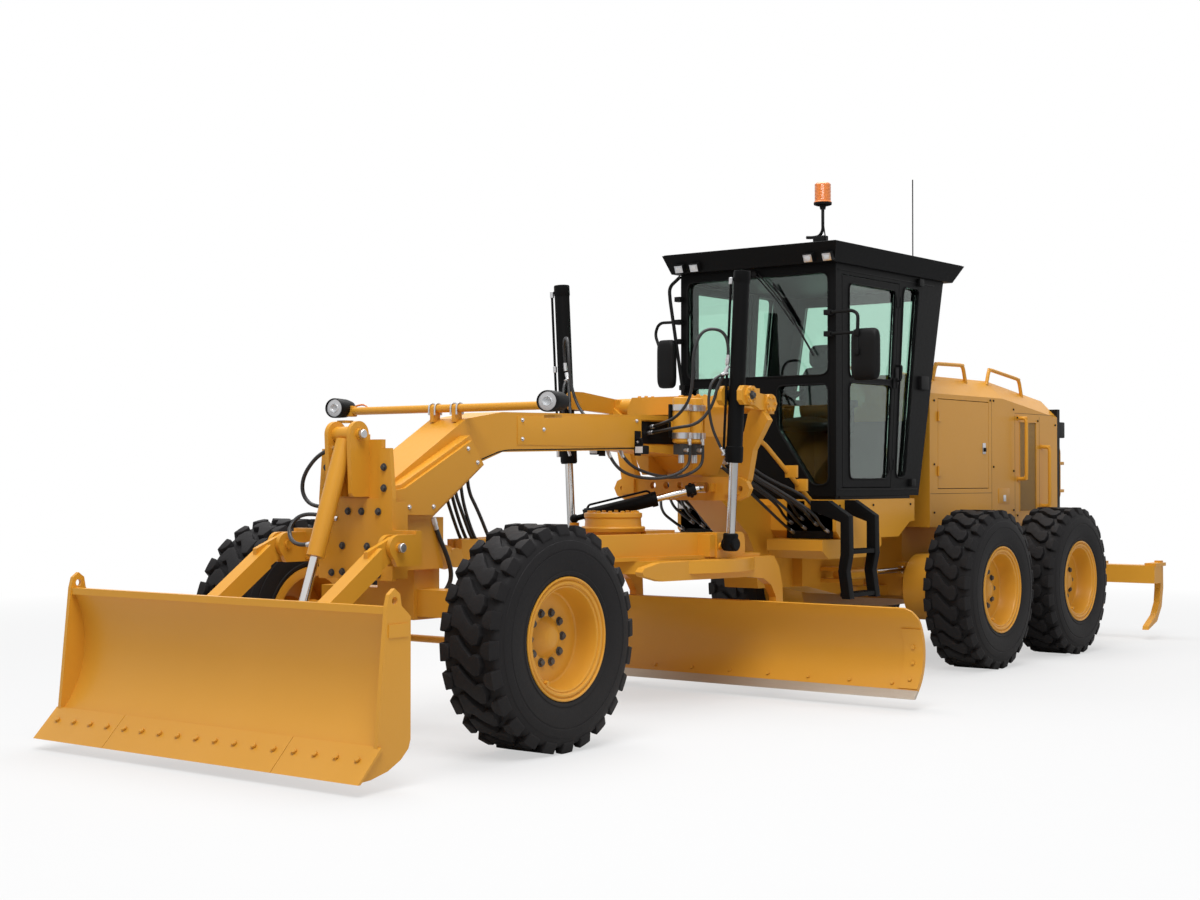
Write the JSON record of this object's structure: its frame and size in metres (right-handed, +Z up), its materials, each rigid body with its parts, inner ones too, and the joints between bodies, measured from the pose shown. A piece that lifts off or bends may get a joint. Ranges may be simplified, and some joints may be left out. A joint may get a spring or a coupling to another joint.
{
  "type": "motor grader",
  "caption": "Yellow and dark grey six-wheeled motor grader with a front dozer blade, a turning moldboard on a circle, a tall glazed cab and a rear ripper.",
  "frame": {"origin": "bottom centre of the machine's box, on the ground", "axes": "+X forward, +Y to the machine's left, +Z up"},
  "size_m": [10.975, 3.66, 3.9774],
  "materials": {
    "paint_yellow": "satin",
    "paint_grey": "satin",
    "rubber": "matte",
    "chrome": "polished",
    "worn_steel": "worn",
    "glass": "clear",
    "lamp": "gloss",
    "amber": "gloss",
    "fabric": "matte",
    "plastic_black": "satin"
  },
  "bodies": {
    "rear_frame": {"rear_frame": "paint_yellow", "tandem_cases": "paint_yellow", "hood_shell": "paint_yellow", "engine_block": "paint_grey", "radiator_guard": "paint_grey"},
    "hood_door_left": {"hood_door_left": "paint_yellow"},
    "hood_door_right": {"hood_door_right": "paint_yellow"},
    "ripper": {"ripper": "paint_yellow"},
    "ripper_barrel": {"ripper_barrel": "paint_yellow"},
    "ripper_rod": {"ripper_rod": "chrome"},
    "front_frame": {"front_frame": "paint_yellow", "work_lamps": "lamp", "front_axle": "paint_yellow", "saddle": "paint_yellow", "lift_barrels": "paint_grey", "cab_shell": "paint_grey", "cab_roof": "paint_grey", "cab_glass": "glass", "seat": "fabric", "console": "plastic_black", "mirrors": "plastic_black", "ladder": "paint_grey", "side_box": "paint_yellow", "beacon": "amber", "antenna": "plastic_black"},
    "artic_barrel_left": {"artic_barrel_left": "paint_yellow"},
    "artic_barrel_right": {"artic_barrel_right": "paint_yellow"},
    "artic_rod_left": {"artic_rod_left": "chrome"},
    "artic_rod_right": {"artic_rod_right": "chrome"},
    "knuckle_left": {"knuckle_left": "paint_yellow"},
    "knuckle_right": {"knuckle_right": "paint_yellow"},
    "tie_rod": {"tie_rod": "paint_yellow"},
    "drawbar": {"drawbar": "paint_yellow"},
    "circle": {"circle": "paint_yellow"},
    "blade_carrier": {"blade_carrier": "paint_yellow"},
    "moldboard": {"moldboard": "paint_yellow", "cutting_edge": "worn_steel"},
    "lift_rod_left": {"lift_rod_left": "chrome"},
    "lift_rod_right": {"lift_rod_right": "chrome"},
    "shift_barrel": {"shift_barrel": "paint_grey"},
    "shift_rod": {"shift_rod": "chrome"},
    "dozer": {"dozer": "paint_yellow"},
    "dozer_barrel": {"dozer_barrel": "paint_yellow"},
    "dozer_rod": {"dozer_rod": "chrome"},
    "door_left": {"door_left": "paint_grey", "door_glass_left": "glass"},
    "door_right": {"door_right": "paint_grey", "door_glass_right": "glass"},
    "wheel_front_left": {"rim_front_left": "paint_yellow", "tyre_front_left": "rubber"},
    "wheel_front_right": {"rim_front_right": "paint_yellow", "tyre_front_right": "rubber"},
    "wheel_fore_left": {"rim_fore_left": "paint_yellow", "tyre_fore_left": "rubber"},
    "wheel_fore_right": {"rim_fore_right": "paint_yellow", "tyre_fore_right": "rubber"},
    "wheel_aft_left": {"rim_aft_left": "paint_yellow", "tyre_aft_left": "rubber"},
    "wheel_aft_right": {"rim_aft_right": "paint_yellow", "tyre_aft_right": "rubber"}
  },
  "joints": [
    {"name": "articulation", "type": "hinge", "parent": "rear_frame", "child": "front_frame", "pos_m": [-1.5, 0, 0.85], "axis": [0, 0, -1], "range_deg": [-20, 20]},
    {"name": "hood_door_left_hinge", "type": "hinge", "parent": "rear_frame", "child": "hood_door_left", "pos_m": [-1.901, 0.5893, 1.8], "axis": [0, 0, -1], "range_deg": [0, 80]},
    {"name": "door_left_hinge", "type": "hinge", "parent": "front_frame", "child": "door_left", "pos_m": [-0.94092, 0.7143, 2.26], "axis": [-0.0959, 0, 0.9954], "range_deg": [0, 80]},
    {"name": "hood_door_right_hinge", "type": "hinge", "parent": "rear_frame", "child": "hood_door_right", "pos_m": [-1.901, -0.5893, 1.8], "axis": [0, 0, 1], "range_deg": [0, 80]},
    {"name": "door_right_hinge", "type": "hinge", "parent": "front_frame", "child": "door_right", "pos_m": [-0.94092, -0.7143, 2.26], "axis": [0.0959, 0, -0.9954], "range_deg": [0, 80]},
    {"name": "ripper_lift", "type": "hinge", "parent": "rear_frame", "child": "ripper", "pos_m": [-4.56, 0, 0.74], "axis": [0, 1, 0], "range_deg": [-25, 0]},
    {"name": "ripper_cylinder_swing", "type": "hinge", "parent": "rear_frame", "child": "ripper_barrel", "pos_m": [-4.52, 0, 1.01], "axis": [0, 1, 0], "range_deg": [-25, 25]},
    {"name": "ripper_cylinder_stroke", "type": "slide", "parent": "ripper_barrel", "child": "ripper_rod", "axis": [-0.9594, 0, -0.2822], "range_m": [-0.15, 0.2]},
    {"name": "dozer_lift", "type": "hinge", "parent": "front_frame", "child": "dozer", "pos_m": [4.43, 0, 1.15], "axis": [0, -1, 0], "range_deg": [-5, 25]},
    {"name": "dozer_cylinder_swing", "type": "hinge", "parent": "front_frame", "child": "dozer_barrel", "pos_m": [4.345, 0, 1.79], "axis": [0, -1, 0], "range_deg": [-20, 20]},
    {"name": "dozer_cylinder_stroke", "type": "slide", "parent": "dozer_barrel", "child": "dozer_rod", "axis": [0.3307, 0, -0.9437], "range_m": [-0.15, 0.15]},
    {"name": "articulation_cylinder_left_swing", "type": "hinge", "parent": "front_frame", "child": "artic_barrel_left", "pos_m": [-0.62, 0.37, 0.78], "axis": [0, 0, 1], "range_deg": [-10, 10]},
    {"name": "articulation_cylinder_left_stroke", "type": "slide", "parent": "artic_barrel_left", "child": "artic_rod_left", "axis": [-1, 0, 0], "range_m": [-0.18, 0.18]},
    {"name": "articulation_cylinder_right_swing", "type": "hinge", "parent": "front_frame", "child": "artic_barrel_right", "pos_m": [-0.62, -0.37, 0.78], "axis": [0, 0, 1], "range_deg": [-10, 10]},
    {"name": "articulation_cylinder_right_stroke", "type": "slide", "parent": "artic_barrel_right", "child": "artic_rod_right", "axis": [-1, 0, 0], "range_m": [-0.18, 0.18]},
    {"name": "steering_left", "type": "hinge", "parent": "front_frame", "child": "knuckle_left", "pos_m": [3.83, 0.82, 0.64], "axis": [0, 0, 1], "range_deg": [-47.5, 47.5]},
    {"name": "steering_right", "type": "hinge", "parent": "front_frame", "child": "knuckle_right", "pos_m": [3.83, -0.82, 0.64], "axis": [0, 0, 1], "range_deg": [-47.5, 47.5]},
    {"name": "tie_rod_ball", "type": "hinge", "parent": "knuckle_left", "child": "tie_rod", "pos_m": [3.6, 0.82, 0.555], "axis": [0, 0, 1], "range_deg": [-50, 50]},
    {"name": "axle_front_left", "type": "hinge", "parent": "knuckle_left", "child": "wheel_front_left", "pos_m": [3.83, 1.02, 0.64], "axis": [0, 1, 0], "continuous": true},
    {"name": "axle_front_right", "type": "hinge", "parent": "knuckle_right", "child": "wheel_front_right", "pos_m": [3.83, -1.02, 0.64], "axis": [0, 1, 0], "continuous": true},
    {"name": "axle_fore_left", "type": "hinge", "parent": "rear_frame", "child": "wheel_fore_left", "pos_m": [-1.7705, 1.02, 0.64], "axis": [0, 1, 0], "continuous": true},
    {"name": "axle_fore_right", "type": "hinge", "parent": "rear_frame", "child": "wheel_fore_right", "pos_m": [-1.7705, -1.02, 0.64], "axis": [0, 1, 0], "continuous": true},
    {"name": "axle_aft_left", "type": "hinge", "parent": "rear_frame", "child": "wheel_aft_left", "pos_m": [-3.3455, 1.02, 0.64], "axis": [0, 1, 0], "continuous": true},
    {"name": "axle_aft_right", "type": "hinge", "parent": "rear_frame", "child": "wheel_aft_right", "pos_m": [-3.3455, -1.02, 0.64], "axis": [0, 1, 0], "continuous": true},
    {"name": "drawbar_lift", "type": "hinge", "parent": "front_frame", "child": "drawbar", "pos_m": [3.48, 0, 1.05], "axis": [0, 1, 0], "range_deg": [-8, 6]},
    {"name": "lift_cylinder_left", "type": "slide", "parent": "front_frame", "child": "lift_rod_left", "axis": [0, 0.0535, 0.9986], "range_m": [-0.32, 0.32]},
    {"name": "lift_cylinder_right", "type": "slide", "parent": "front_frame", "child": "lift_rod_right", "axis": [0, -0.0535, 0.9986], "range_m": [-0.32, 0.32]},
    {"name": "circle_turn", "type": "hinge", "parent": "drawbar", "child": "circle", "pos_m": [1.42, 0, 0.94], "axis": [0, 0, 1], "continuous": true},
    {"name": "blade_pitch", "type": "hinge", "parent": "circle", "child": "blade_carrier", "pos_m": [0.74, 0, 0.25], "axis": [0, 1, 0], "range_deg": [-5, 40]},
    {"name": "blade_side_shift", "type": "slide", "parent": "blade_carrier", "child": "moldboard", "axis": [0, -1, 0], "range_m": [-0.61, 0.56]},
    {"name": "shift_cylinder_swing", "type": "hinge", "parent": "drawbar", "child": "shift_barrel", "pos_m": [1.7, -0.42, 1.25], "axis": [-0.7425, -0.6567, 0.1321], "range_deg": [-30, 30]},
    {"name": "shift_cylinder_stroke", "type": "slide", "parent": "shift_barrel", "child": "shift_rod", "axis": [-0.6201, 0.7484, 0.2352], "range_m": [-0.2, 0.2]}
  ],
  "couplings": [
    {"joint": "ripper_cylinder_swing", "follows": "ripper_lift", "ratio": 0.73873},
    {"joint": "ripper_cylinder_stroke", "follows": "ripper_lift", "m_per_rad": -0.22472},
    {"joint": "dozer_cylinder_swing", "follows": "dozer_lift", "ratio": 0.53208},
    {"joint": "dozer_cylinder_stroke", "follows": "dozer_lift", "m_per_rad": -0.19988},
    {"joint": "articulation_cylinder_left_swing", "follows": "articulation", "ratio": 0.16292},
    {"joint": "articulation_cylinder_left_stroke", "follows": "articulation", "m_per_rad": 0.36562},
    {"joint": "articulation_cylinder_right_swing", "follows": "articulation", "ratio": 0.16292},
    {"joint": "articulation_cylinder_right_stroke", "follows": "articulation", "m_per_rad": -0.36562},
    {"joint": "steering_right", "follows": "steering_left", "ratio": 1},
    {"joint": "tie_rod_ball", "follows": "steering_left", "ratio": -1},
    {"joint": "lift_cylinder_left", "follows": "drawbar_lift", "m_per_rad": 2.098},
    {"joint": "lift_cylinder_right", "follows": "drawbar_lift", "m_per_rad": 2.098},
    {"joint": "shift_cylinder_swing", "follows": "drawbar_lift", "ratio": 2.4582},
    {"joint": "shift_cylinder_stroke", "follows": "drawbar_lift", "m_per_rad": -0.39552}
  ]
}
